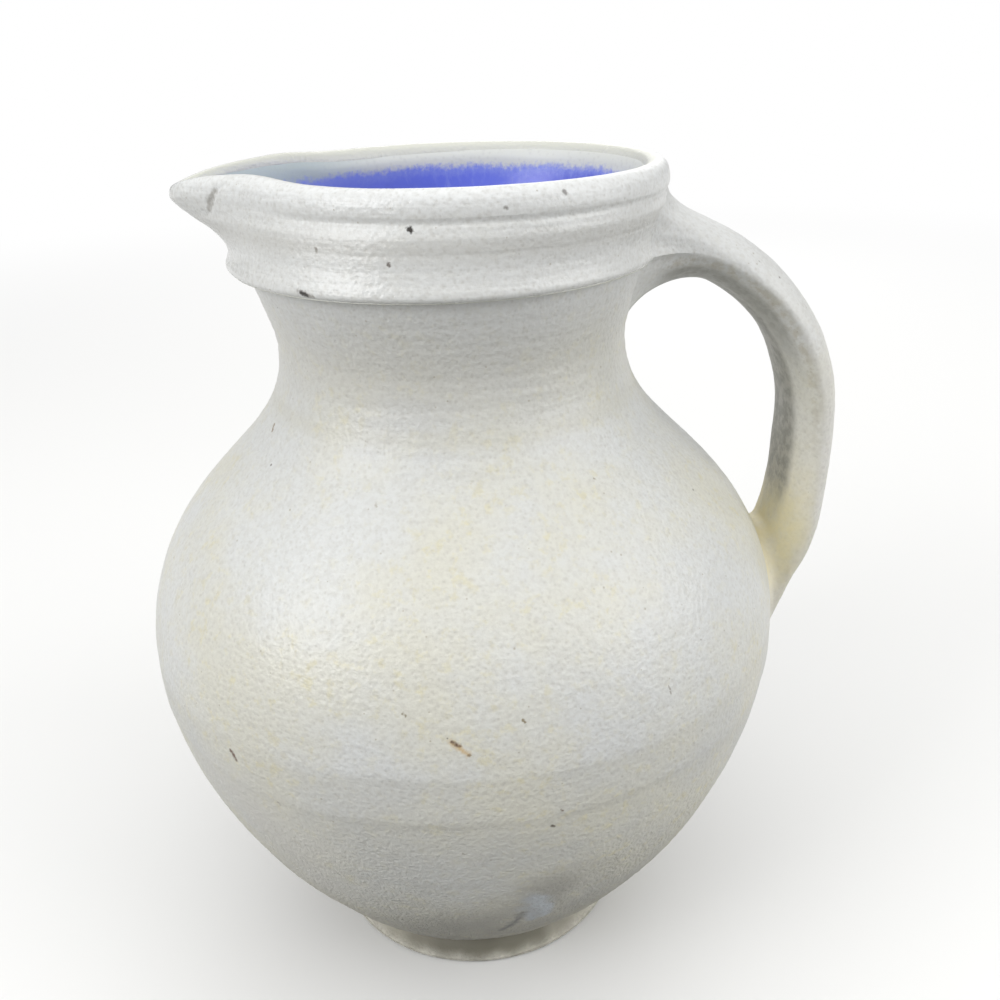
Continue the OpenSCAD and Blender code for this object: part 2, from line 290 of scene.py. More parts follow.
def newGroup(name, vectors, numbers, outputs):
    # vectors come in without a default, numbers with theirs, and only numbers go out
    group = bpy.data.node_groups.new(name, "ShaderNodeTree")
    for label in vectors:
        group.interface.new_socket(label, in_out="INPUT", socket_type="NodeSocketVector")
    for label, value in numbers.items():
        group.interface.new_socket(label, in_out="INPUT", socket_type="NodeSocketFloat").default_value = value
    for label in outputs:
        group.interface.new_socket(label, in_out="OUTPUT", socket_type="NodeSocketFloat")
    inside = group.nodes.new("NodeGroupInput").outputs
    outside = group.nodes.new("NodeGroupOutput").inputs
    return group, inside, outside


def orangePeelGroup():
    # the pitted skin of the fired salt glaze: two sizes of smooth cells over a soft uneven swell
    group, inside, outside = newGroup("orangePeel", ["Position"], {"Pit Spacing": 0.0013, "Swell": 0.5},
                                      ["Height", "Hollows"])
    scale = calc(group, "DIVIDE", 1.0, inside["Pit Spacing"])
    pits = put(group, "TexVoronoi", {"Vector": inside["Position"], "Scale": scale, "Smoothness": 0.9},
               feature="SMOOTH_F1").outputs["Distance"]
    fine = noise(group, inside["Position"], times(group, scale, 1.9), 2.0)
    swell = noise(group, inside["Position"], times(group, scale, 0.22), 1.0)
    ripple = calc(group, "MULTIPLY_ADD", fine, 0.5, pits)
    height = calc(group, "MULTIPLY_ADD", swell, inside["Swell"], ripple)
    group.links.new(height, outside["Height"])
    group.links.new(stepUp(group, pits, 0.42, 0.05), outside["Hollows"])
    return group


def speckGroup():
    # round specks in a share of the cells, each cell with its own size
    group, inside, outside = newGroup("ironSpecks", ["Position"], {"Spacing": 0.005, "Size": 0.1, "Share": 0.3},
                                      ["Mask"])
    cell = put(group, "TexVoronoi", {"Vector": inside["Position"],
                                     "Scale": calc(group, "DIVIDE", 1.0, inside["Spacing"])})
    tone = put(group, "SeparateColor", {"Color": cell.outputs["Color"]})
    here = calc(group, "LESS_THAN", tone.outputs["Red"], inside["Share"])
    size = times(group, inside["Size"], calc(group, "MULTIPLY_ADD", tone.outputs["Green"], 0.9, 0.35))
    spot = straight(group, cell.outputs["Distance"], size, times(group, size, 0.4))
    group.links.new(times(group, spot, here), outside["Mask"])
    return group


def blotchGroup():
    # cloudy patches, from 0 to 1, with an edge that is as sharp as wanted
    group, inside, outside = newGroup("blotches", ["Position"], {"Patch Size": 0.02, "Low": 0.4, "High": 0.6},
                                      ["Mask"])
    cloud = noise(group, inside["Position"], calc(group, "DIVIDE", 1.0, inside["Patch Size"]), 4.0, 0.6)
    group.links.new(stepUp(group, cloud, inside["Low"], inside["High"]), outside["Mask"])
    return group


def throwingLinesGroup():
    # fine lines round the pot: noise that changes fast with height and slowly round it
    group, inside, outside = newGroup("throwingLines", ["Position"], {"Line Spacing": 0.001}, ["Height"])
    stretched = vectorCalc(group, "MULTIPLY", inside["Position"], (0.035, 0.035, 1.0))
    lines = noise(group, stretched, calc(group, "DIVIDE", 1.0, inside["Line Spacing"]), 2.0)
    group.links.new(lines, outside["Height"])
    return group


def clayMarkGroup():
    # one stroke from start to finish: 1 on its line, 0 past its half width, with a ragged edge
    group, inside, outside = newGroup("clayMark", ["Position", "Start", "Finish"],
                                      {"Half Width": 0.001, "Edge": 0.5, "Ragged": 1.6}, ["Mask"])
    offset = vectorCalc(group, "SUBTRACT", inside["Position"], inside["Start"])
    span = vectorCalc(group, "SUBTRACT", inside["Finish"], inside["Start"])
    dot = vectorCalc(group, "DOT_PRODUCT", offset, span)
    length = vectorCalc(group, "DOT_PRODUCT", span, span)
    along = calc(group, "DIVIDE", dot, calc(group, "MAXIMUM", length, 1e-9), clamp=True)
    onLine = put(group, "VectorMath", {0: span, "Scale": along}, operation="SCALE").outputs[0]
    distance = vectorCalc(group, "LENGTH", vectorCalc(group, "SUBTRACT", offset, onLine))
    shares = calc(group, "DIVIDE", distance, inside["Half Width"])
    ragged = noise(group, inside["Position"], calc(group, "DIVIDE", 1.0, inside["Half Width"]), 3.0)
    edge = waver(group, ragged, inside["Ragged"], shares)
    spot = straight(group, edge, 1.0, calc(group, "SUBTRACT", 1.0, inside["Edge"]))
    group.links.new(spot, outside["Mask"])
    return group


groups = {
    "peel": orangePeelGroup(),
    "specks": speckGroup(),
    "blotches": blotchGroup(),
    "lines": throwingLinesGroup(),
    "mark": clayMarkGroup(),
}


def useGroup(tree, key, inputs):
    return put(tree, "Group", inputs, node_tree=groups[key]).outputs


def blotches(tree, place, size, low, high):
    return useGroup(tree, "blotches", {"Position": place, "Patch Size": size, "Low": low, "High": high})["Mask"]


def speckMask(tree, place, spacing, size, share):
    return useGroup(tree, "specks", {"Position": place, "Spacing": spacing, "Size": size, "Share": share})["Mask"]


def meshValue(tree, name):
    # what makePiece stored in the mesh under this name
    return put(tree, "Attribute", attribute_name=name).outputs["Fac"]


def newMaterial(name):
    material = bpy.data.materials.new(name)
    material.use_nodes = True
    tree = material.node_tree
    return material, tree, tree.nodes["Principled BSDF"]


# ---- the wall's own line, which most pieces need ----

wall = {
    "columns": 840,
    "outerRows": {"base": 100, "belly": 106, "shoulder": 98, "neck": 96},
    "innerRows": 9,
    "footJoint": (36.1, 6.0),
    "footSlope": 1.07,
    "widest": (78.4, 88.4),
    "waist": (40.6, 161.4),
    "ledge": (45.2, 179.5),
    "ledgeSlope": 0.28,
    "pulls": (0.38, 0.19, 0.575, 0.37, 0.27, 0.33),
    "thickness": 6.0,
    "recess": (29.6, 3.0),
    "grooveRadius": 35.2,
    "wobble": 0.32,          # slow unevenness of a hand-thrown wall
    "dents": 0.10,
    "pitting": 0.020,
    "turningSteps": [(93.2, 0.07, 0.8), (82.4, 0.12, 0.7), (61.0, 0.06, 1.0), (34.0, 0.08, 1.2)],
    "grain": 0.09,           # sandier skin low down
}


def wallLine(shape, count):
    # three cubic curves: foot to widest round, widest round to waist, waist to ledge
    (r0, z0), (r1, z1), (r2, z2), (r3, z3) = (shape[k] for k in ("footJoint", "widest", "waist", "ledge"))
    a, b, c, d, e, f = shape["pulls"]
    low, high, flare = z1 - z0, z2 - z1, z3 - z2
    t = np.linspace(0, 1, 400)
    lower = bezier([(r0, z0), (r0 + shape["footSlope"] * a * low, z0 + a * low), (r1, z1 - b * low), (r1, z1)], t)
    upper = bezier([(r1, z1), (r1, z1 + c * high), (r2, z2 - d * high), (r2, z2)], t)
    top = bezier([(r2, z2), (r2, z2 + e * flare), (r3 - shape["ledgeSlope"] * f * flare, z3 - f * flare),
                  (r3, z3)], t)
    return evenly(np.concatenate([lower, upper[1:], top[1:]]), count)


fullLine = wallLine(wall, 3000)


def inset(line, depth):
    # each point moved inwards, square to the line
    d = unit(np.gradient(line, axis=0))
    return line + depth * np.stack([-d[:, 1], d[:, 0]], 1)


def wallRadius(z):
    # the outer wall's radius at a height, read off its line
    return np.interp(z, fullLine[:, 1], fullLine[:, 0])


def ringLines(points, spacing, seed):
    # lines left by the fingers: noise squeezed in height and drawn out round the pot
    return clayNoise(points * np.array([0.04, 0.04, 1.0]), (spacing, spacing, spacing), seed)


def wallRelief(points):
    # slow wobble, shallow dents, pitting, throwing lines that fade out on the belly, and turned steps
    z = points[..., 2]
    height = wall["wobble"] * (clayNoise(points, 62, 1) - 0.6)
    height += wall["dents"] * clayNoise(points, 15, 2) + 0.5 * wall["dents"] * clayNoise(points, 7, 3)
    pits = clayNoise(points, 2.3, 4)
    height += wall["pitting"] * (pits - np.abs(clayNoise(points, 3.6, 5)))
    neckShare = ease(125, 165, z)
    lowShare = ease(60, 25, z)
    height += mix(0.03, 0.11, neckShare) * ringLines(points, 1.9, 6)
    height += mix(0.05, 0.12, neckShare) * ringLines(points, 6.5, 7) + 0.06 * lowShare * ringLines(points, 1.5, 8)
    height += wall["grain"] * ease(95, 40, z) * (clayNoise(points, 1.5, 9) + 0.5 * clayNoise(points, 2.7, 10))
    azimuth = np.arctan2(points[..., 1], points[..., 0])
    patchy = np.clip(0.75 + 0.9 * clayNoise(points, 28, 17), 0.15, 1.3)
    for stepHeight, depth, width in wall["turningSteps"]:
        sway = 0.7 * np.sin(azimuth + stepHeight) + 0.3 * clayNoise(points, 9, 18)
        height += patchy * depth * (np.tanh((z - stepHeight - sway) / width) - 1) * ease(-14, 0, z - stepHeight)
    return height


# ---- the collar and the spout ----

collar = {
    "columns": 750,
    "rows": 132,
    "foot": 179.5,
    "crest": 200.0,
    "ledgeRadius": 47.4,
    "lipRadius": 44.75,
    "mouthRadius": 39.0,
    "boreRadius": 39.2,
    "lipRound": 3.8,
    "wallShares": [          # share of the height, and of the way out from the lip's radius to the ledge's
        (0.010, 0.62), (0.030, 0.84), (0.060, 0.94), (0.095, 0.90), (0.14, 0.78), (0.20, 0.64),
        (0.30, 0.46), (0.45, 0.32), (0.56, 0.24)],
    "groove": [(192.6, 44.86), (193.2, 44.66), (193.8, 44.36), (194.4, 44.48), (195.0, 44.71)],
    "mouthShift": 4.5,
    "spoutReach": 60.0,
    "lipPull": 0.87,
    "spoutAngle": 16.0,
    "tipDroop": 2.4,
    "droopAngle": 8.5,
    "sideRise": 1.0,
    "sideAway": 27.0,
    "sideAngle": 14.0,
    "fineLines": [           # height, depth and half width of the lines left by the rib
        (192.2, 0.04, 0.35), (190.6, 0.04, 0.4), (188.3, 0.05, 0.4), (185.4, 0.03, 0.5), (197.4, 0.05, 0.5)],
    "dents": [               # place, direction, half length, half width and depth, beside the spout
        ((-48.1, -14.9, 195.8), (0.39, -0.40, 0.83), 3.0, 1.05, 0.55),
        ((-50.6, -12.0, 192.6), (-0.6, 0.3, 0.7), 1.6, 0.5, 0.30),
        ((-45.6, -16.8, 198.4), (0.7, -0.5, 0.3), 1.9, 0.5, 0.22)],
    "grooveFill": {"height": 193.8, "halfHeight": 0.75, "amount": 0.34, "away": (54, 32)},
}


def rise(z):
    # 0 at the collar's foot and 1 at its crest
    return (z - collar["foot"]) / (collar["crest"] - collar["foot"])


def outerPull(z):
    # the outside's share of the spout's pull, which grows in an S from foot to lip
    return mix(0.1, collar["lipPull"], ease(0.15, 0.85, rise(z)))


def innerPull(z):
    # the inside's share, which is full a little below the crest
    return 0.99 * ease(0, 0.9, rise(z))


def drawnOut(section, azimuths):
    # each section point [radius, height, share of the spout's pull] goes round a mouth that moves towards
    # the handle with height, and is pulled out by a bell over the angle from the spout's tip; the tip droops
    r, z, pull = (section[:, n][:, None] for n in range(3))
    u = rise(z)
    away = 180 - np.abs(np.degrees(azimuths))[None, :]
    shift = collar["mouthShift"] * ease(0.1, 0.8, u)
    reach = (collar["spoutReach"] - (collar["lipRadius"] - collar["mouthShift"])) / collar["lipPull"]
    width = collar["spoutAngle"] * mix(1.6, 1, np.clip(u, 0, 1))
    radius = shift * np.cos(azimuths) + np.sqrt(r ** 2 - (shift * np.sin(azimuths)) ** 2)
    radius = radius + reach * pull / (1 + (away / width) ** 2)
    height = z - collar["tipDroop"] * np.maximum(0, (u - 0.37) / 0.63) * bell(away, collar["droopAngle"])
    height = height + collar["sideRise"] * ease(0.3, 1, u) * bell(away - collar["sideAway"], collar["sideAngle"])
    return np.stack([radius * np.cos(azimuths), radius * np.sin(azimuths), height], -1)


def lipPoint(angle):
    # a point of the rounded lip; 0 is outside, 90 the crest and 180 inside
    a = np.radians(angle)
    half = (collar["lipRadius"] - collar["mouthRadius"]) / 2
    lipZ = collar["crest"] - collar["lipRound"]
    return [collar["mouthRadius"] + half + half * np.cos(a), lipZ + collar["lipRound"] * np.sin(a),
            mix(collar["lipPull"], innerPull(lipZ), angle / 180)]


def innerCollar(z, coat=0.0):
    # a point of the bore, on a straight line from the bore's foot to the mouth, less the coat
    return [mix(collar["mouthRadius"], collar["boreRadius"], 1 - rise(z)) - coat, z, innerPull(z)]


def collarSection():
    # a closed loop: under the ledge, up the band, through the groove, over the lip and down inside
    foot, crest = collar["foot"], collar["crest"]
    outside = [[mix(collar["lipRadius"], collar["ledgeRadius"], s), foot + h * (crest - foot)]
               for h, s in collar["wallShares"]]
    outside += [[r, z] for z, r in collar["groove"]]
    outside = [[r, z, outerPull(z)] for r, z in outside]
    lip = [lipPoint(a) for a in (0, 24, 48, 70, 90, 110, 132, 156, 180)]
    inside = [innerCollar(z) for z in (193, 189, 185, 181)]
    under = [[collar["boreRadius"], foot, 0.0], [42.0, foot, 0.05], [wall["ledge"][0], foot, 0.1], [46.0, foot, 0.1]]
    top = softLine(outside + lip, collar["rows"] - 26)
    return np.concatenate([top, softLine(inside + under[:1], 18), np.array(under[1:]),
                           softLine([under[-1], [46.45, foot + 0.08, 0.1], outside[0]], 7)[1:-1]])


def outerBand(azimuth):
    # the collar's outside at one azimuth, from its foot up to the crest, as points
    section = collarSection()
    return drawnOut(section[:int(np.argmax(section[:, 1]))], np.array([azimuth]))[:, 0]


def spoutAzimuths(count):
    # azimuths spaced evenly along the lip's outer edge, starting behind the handle
    a = np.linspace(-np.pi, np.pi, 7201)
    edge = drawnOut(np.array([lipPoint(0)]), a)[0]
    along = distanceAlong(edge)
    return np.interp(np.linspace(0, along[-1], count, endpoint=False), along, a)


def collarRelief(points):
    # the wall's pitting and finer wobble, lines cut by the rib, and dents beside the spout
    z = points[..., 2]
    height = 0.16 * (clayNoise(points, 38, 11) - 0.5) + 0.05 * clayNoise(points, 9, 12)
    height += 0.012 * clayNoise(points, 2.1, 13)
    height += 0.028 * ringLines(points, 1.6, 14) + 0.03 * ringLines(points, 5, 15)
    for lineHeight, depth, width in collar["fineLines"]:
        sway = 0.25 * clayNoise(points, 30, 16)
        height -= depth * bell(z - lineHeight - sway, width)
    # the groove under the lip fills up towards the spout
    away, fill = fromTip(points), collar["grooveFill"]
    risen = 0.6 * bell(away - collar["sideAway"], collar["sideAngle"])
    drooped = 1.25 * bell(away, collar["droopAngle"])
    filled = bell(z - fill["height"] - risen + drooped, fill["halfHeight"])
    height += fill["amount"] * filled * ease(*fill["away"], away)
    for place, direction, length, width, depth in collar["dents"]:
        d, offset = unit(np.array(direction)), points - np.array(place)
        lengthwise = offset @ d
        sideways = np.linalg.norm(offset - lengthwise[..., None] * d, axis=-1)
        height -= depth * np.exp(-(lengthwise / length) ** 4 - (sideways / width) ** 2)
    return height


# ---- finishes ----

def onJug(z, azimuth):
    # a place on the outer wall or the band above it, in metres, for a mark; below the wall it keeps the
    # radius of the foot's joint
    a = radians(azimuth)
    if z > collar["foot"]:
        band = outerBand(a)
        r = float(np.interp(z, band[:, 2], np.hypot(band[:, 0], band[:, 1])))
    else:
        r = float(wallRadius(z))
    return (r * cos(a) * 0.001, r * sin(a) * 0.001, z * 0.001)


bodyFinish = {
    "belly": (0.722, 0.735, 0.722),
    "cool": (0.735, 0.745, 0.735),
    # greyer clay towards the foot, darkened further as painted shade
    "low": (0.500, 0.490, 0.425),
    "fleck": (0.715, 0.665, 0.420),
    "warm": (0.732, 0.715, 0.600),
    "hollow": (0.50, 0.48, 0.43),
    "speck": (0.100, 0.070, 0.050),
    "lowHeights": (0.012, 0.088),
    "coolHeights": (0.135, 0.180),
    "dust": (0.32, 0.26, 0.17),
    "stepShare": 0.32,       # how much of each colour or effect shows
    "warmShare": 0.70,
    "fleckShare": 0.58,
    "grainShares": (0.22, 0.34),
    "hollowShare": 0.28,
    "speckShare": 0.75,
    "dustShare": 0.50,
    "raggedness": 1.6,
    "drift": 0.045,
    "roughness": (0.32, 0.48),
    "lowRoughness": 0.72,
    "pitSpacing": 0.0011,
    "pitDepth": 0.14,
    "sandDepth": 7.5,
    "lineDepth": 0.05,
    "steps": (0.0932, 0.0824),
    "bands": [
        # height, half height, share and colour of a soft band round the pot, in metres
        # a warmer tone in the neck's waist, darkened as painted shade under the collar
        (0.163, 0.017, 0.38, (0.58, 0.565, 0.495)),
        (0.1506, 0.0032, 0.28, (0.60, 0.58, 0.46)),
        # painted shade low on the belly, above the foot
        (0.026, 0.031, 0.50, (0.34, 0.33, 0.295)),
    ],
    "marks": [
        # a stroke's two ends as height in mm and azimuth in degrees, half width in metres, how soft its edge
        # is, and its colour
        ((147.2, -156.6), (146.0, -155.8), 0.00055, 0.6, (0.30, 0.22, 0.15)),
        ((139.9, -109.9), (139.6, -109.6), 0.00045, 0.6, (0.32, 0.27, 0.19)),
        ((140.4, -55.8), (140.2, -55.6), 0.00040, 0.6, (0.30, 0.26, 0.20)),
        ((109.2, -49.4), (109.0, -49.2), 0.00040, 0.6, (0.28, 0.25, 0.20)),
        ((107.8, -100.1), (107.4, -99.7), 0.00040, 0.6, (0.30, 0.27, 0.20)),
        ((105.6, -82.7), (105.2, -82.4), 0.00040, 0.6, (0.30, 0.26, 0.18)),
        ((103.9, -58.2), (102.2, -57.9), 0.00035, 0.6, (0.20, 0.16, 0.12)),
        ((90.2, -130.5), (88.3, -129.6), 0.00070, 0.6, (0.13, 0.07, 0.045)),
        ((102.4, -93.2), (99.8, -90.8), 0.00085, 1.0, (0.62, 0.47, 0.27)),
        ((102.5, -93.0), (101.6, -92.0), 0.00060, 0.8, (0.13, 0.08, 0.05)),
        ((99.7, -90.7), (99.5, -90.5), 0.00045, 0.6, (0.26, 0.19, 0.11)),
        ((83.7, -77.5), (83.5, -77.3), 0.00040, 0.6, (0.20, 0.16, 0.12)),
        ((79.6, -78.8), (79.2, -78.5), 0.00055, 0.6, (0.11, 0.09, 0.06)),
        ((81.0, -122.1), (80.6, -121.7), 0.00055, 0.6, (0.17, 0.13, 0.10)),
        ((74.2, -92.5), (74.0, -92.3), 0.00040, 0.6, (0.22, 0.18, 0.13)),
        # painted light: a broad paler patch low on the left side
        ((74.0, -130.0), (54.0, -120.0), 0.019, 1.0, (0.66, 0.65, 0.60)),
        # painted shade: a broad darker patch low on the front
        ((38.0, -94.0), (54.0, -76.0), 0.013, 1.0, (0.42, 0.41, 0.365)),
        ((52.0, -80.6), (41.0, -78.0), 0.0048, 1.0, (0.50, 0.525, 0.54)),
        ((51.0, -79.4), (44.0, -77.2), 0.0026, 1.0, (0.58, 0.62, 0.65)),
        ((46.0, -76.8), (38.5, -76.6), 0.0019, 1.0, (0.62, 0.66, 0.69)),
        ((44.5, -80.6), (37.5, -79.2), 0.0020, 1.0, (0.54, 0.57, 0.59)),
        ((44.0, -81.8), (31.0, -85.2), 0.0018, 1.0, (0.25, 0.245, 0.23)),
    ],
}
collarFinish = dict(bodyFinish, cool=(0.795, 0.805, 0.790), roughness=(0.20, 0.34), pitSpacing=0.0010, pitDepth=0.10,
                    lineDepth=0.08, fleckShare=0.22, inside=(0.700, 0.705, 0.620), steps=(), bands=[
    # painted shade below the groove under the lip
    (0.1893, 0.0036, 0.40, (0.54, 0.53, 0.49)),
    # painted highlight along the lip
    (0.1985, 0.0045, 0.90, (0.870, 0.885, 0.880)),
], marks=[
    ((193.1, -98.9), (192.9, -98.4), 0.00070, 0.5, (0.05, 0.045, 0.04)),
    ((189.2, -123.4), (188.6, -123.2), 0.00050, 0.7, (0.28, 0.26, 0.23)),
    ((187.0, -104.0), (186.7, -103.8), 0.00050, 0.6, (0.24, 0.22, 0.20)),
    ((198.3, -61.8), (197.9, -61.5), 0.00060, 0.8, (0.30, 0.29, 0.28)),
    ((196.4, -76.5), (196.2, -76.2), 0.00050, 0.8, (0.32, 0.31, 0.29)),
    ((181.2, -127.8), (180.4, -123.6), 0.00070, 1.0, (0.34, 0.32, 0.29)),
    ((181.0, -126.9), (180.5, -125.2), 0.00062, 0.6, (0.045, 0.040, 0.035)),
    # painted shade in the pinch dent beside the spout
    ((197.7, -161.6), (193.8, -164.7), 0.00100, 0.7, (0.46, 0.45, 0.42)),
])
# the skirt above the foot's lower edge is darkened all round as painted shade under the belly
footFinish = dict(bodyFinish, belly=(0.47, 0.45, 0.38), low=(0.74, 0.72, 0.65), cool=(0.66, 0.63, 0.55),
                  lowHeights=(0.0013, 0.0027), drift=0.0016, raggedness=0.35, fleckShare=0.10, roughness=(0.62, 0.78),
                  lowRoughness=0.70, pitSpacing=0.0009, pitDepth=0.05, steps=(), bands=[], marks=[
                      # dark strokes round the front of the skirt: painted shade under the belly, darkest in the
                      # middle
                      ((4.0, -140), (4.0, -128), 0.0048, 1.0, (0.47, 0.45, 0.38)),
                      ((4.0, -56), (4.0, -44), 0.0048, 1.0, (0.45, 0.43, 0.36)),
                      ((4.0, -130), (4.0, -118), 0.0048, 1.0, (0.36, 0.34, 0.28)),
                      ((4.0, -66), (4.0, -54), 0.0048, 1.0, (0.32, 0.30, 0.25)),
                      ((3.8, -120), (3.8, -107), 0.0050, 0.8, (0.25, 0.235, 0.19)),
                      ((3.8, -107), (3.8, -93), 0.0052, 0.7, (0.20, 0.19, 0.15)),
                      ((3.8, -93), (3.8, -79), 0.0052, 0.7, (0.19, 0.18, 0.14)),
                      ((3.8, -79), (3.8, -66), 0.0050, 0.8, (0.22, 0.21, 0.165)),
                  ])
handleFinish = dict(bodyFinish, belly=(0.81, 0.80, 0.75), low=(0.81, 0.80, 0.75), fleckShare=0.30,
                    roughness=(0.38, 0.54), pitSpacing=0.0011, pitDepth=0.11, lineDepth=0.0, steps=(), bands=[],
                    marks=[], ochre=(0.86, 0.78, 0.50), ridge=(0.48, 0.43, 0.32), shade=(0.27, 0.265, 0.235))


def stonewareFinish(name, finish):
    # pale body that turns greyer and rougher to the foot, darkened there partly as painted shade, and cooler to the
    # rim, with yellow flecks, painted shade in the pit bottoms, iron specks, and marks: stains of this firing,
    # painted shade and painted light
    material, tree, shader = newMaterial(name)
    place = put(tree, "TexCoord").outputs["Object"]
    height = put(tree, "SeparateXYZ", {0: place}).outputs["Z"]
    drift = noise(tree, place, 28.0, 3.0)
    level = waver(tree, drift, finish["drift"], height)
    lowShare = stepUp(tree, level, finish["lowHeights"][1], finish["lowHeights"][0])
    coolShare = stepUp(tree, level, *finish["coolHeights"])
    # the coats of colour, from the clay up: each a share and a colour, or the finish's own name for it
    coats = [(lowShare, "low")]
    for stepHeight in finish["steps"]:  # below each turned step the colour turns towards the low colour: a slightly duller clay, and painted shade where the wall below faces further down
        edge = waver(tree, drift, 0.008, height)
        below = stepUp(tree, edge, stepHeight + 0.0012, stepHeight - 0.0012)
        fading = stepUp(tree, height, stepHeight - 0.030, stepHeight)
        coats.append((times(tree, times(tree, below, fading), finish["stepShare"]), "low"))
    coats.append((coolShare, "cool"))
    for middle, half, share, bandColour in finish["bands"]:
        aside = calc(tree, "ABSOLUTE", calc(tree, "SUBTRACT", height, middle))
        band = stepUp(tree, calc(tree, "DIVIDE", aside, half), 1.0, 0.0)
        coats.append((times(tree, band, share), bandColour))
    warmth = times(tree, blotches(tree, place, 0.030, 0.36, 0.66), calc(tree, "SUBTRACT", 1.0, coolShare))
    flecks = times(tree, blotches(tree, place, 0.0027, 0.52, 0.70), finish["fleckShare"])
    grain = blotches(tree, place, 0.0012, 0.38, 0.68)
    high, extraLow = finish["grainShares"]
    peel = useGroup(tree, "peel", {"Position": place, "Pit Spacing": finish["pitSpacing"], "Swell": 0.5})
    coats += [
        (times(tree, warmth, finish["warmShare"]), "warm"),
        (times(tree, calc(tree, "MULTIPLY_ADD", warmth, 0.8, 0.2), flecks), "fleck"),
        # the grain's darker sandy colour; in the next coat the same colour is painted shade in the bottoms of the
        # glaze's pits
        (times(tree, grain, calc(tree, "MULTIPLY_ADD", lowShare, extraLow, high)), "hollow"),
        (times(tree, peel["Hollows"], finish["hollowShare"]), "hollow"),
        (times(tree, speckMask(tree, place, 0.0052, 0.075, 0.16), finish["speckShare"]), "speck"),
        (times(tree, speckMask(tree, place, 0.0021, 0.125, 0.24), finish["dustShare"]), "dust"),
    ]
    if "ochre" in finish:
        ragged = blotches(tree, place, 0.004, 0.25, 0.7)
        broken = blotches(tree, place, 0.0022, 0.40, 0.62)
        coats += [
            (times(tree, meshValue(tree, "ochre"), calc(tree, "MULTIPLY_ADD", ragged, 0.4, 0.45)), "ochre"),
            (times(tree, meshValue(tree, "shade"), calc(tree, "MULTIPLY_ADD", broken, 0.25, 0.68)), "shade"),
            (times(tree, times(tree, meshValue(tree, "ridge"), broken), 0.50), "ridge"),
        ]
    if "inside" in finish:
        coats.append((meshValue(tree, "inside"), "inside"))
    for start, end, halfWidth, edge, markColour in finish["marks"]:
        stroke = useGroup(tree, "mark", {"Position": place, "Start": onJug(*start), "Finish": onJug(*end),
                                         "Half Width": halfWidth, "Edge": edge, "Ragged": finish["raggedness"]})
        coats.append((stroke["Mask"], markColour))
    colour = finish["belly"]
    for share, over in coats:
        colour = blendColour(tree, share, colour, finish.get(over, over))
    tree.links.new(colour, shader.inputs["Base Color"])
    gloss = straight(tree, drift, 0.3, 0.7, *finish["roughness"])
    dull = put(tree, "Mix", {0: lowShare, 2: gloss, 3: finish["lowRoughness"]}, data_type="FLOAT")
    tree.links.new(dull.outputs[0], shader.inputs["Roughness"])
    sand = noise(tree, place, 1200.0, 2.0)
    rough = times(tree, sand, calc(tree, "MULTIPLY_ADD", lowShare, finish["sandDepth"], 0.8))
    skin = put(tree, "Bump", {"Height": calc(tree, "ADD", peel["Height"], rough), "Strength": 1.0,
                              "Distance": finish["pitDepth"] * 0.001})
    lines = useGroup(tree, "lines", {"Position": place, "Line Spacing": 0.0009})["Height"]
    lined = put(tree, "Bump", {"Height": lines, "Strength": 1.0, "Distance": finish["lineDepth"] * 0.001,
                               "Normal": skin.outputs["Normal"]})
    tree.links.new(lined.outputs["Normal"], shader.inputs["Normal"])
    return material


glazeFinish = {
    "blue": (0.185, 0.235, 0.835),
    "deep": (0.085, 0.100, 0.560),
    "pale": (0.36, 0.43, 0.87),
    "cream": (0.765, 0.780, 0.710),
    "shadow": (0.500, 0.590, 0.560),
    "edge": 0.1940,
    "roughness": 0.28,
}


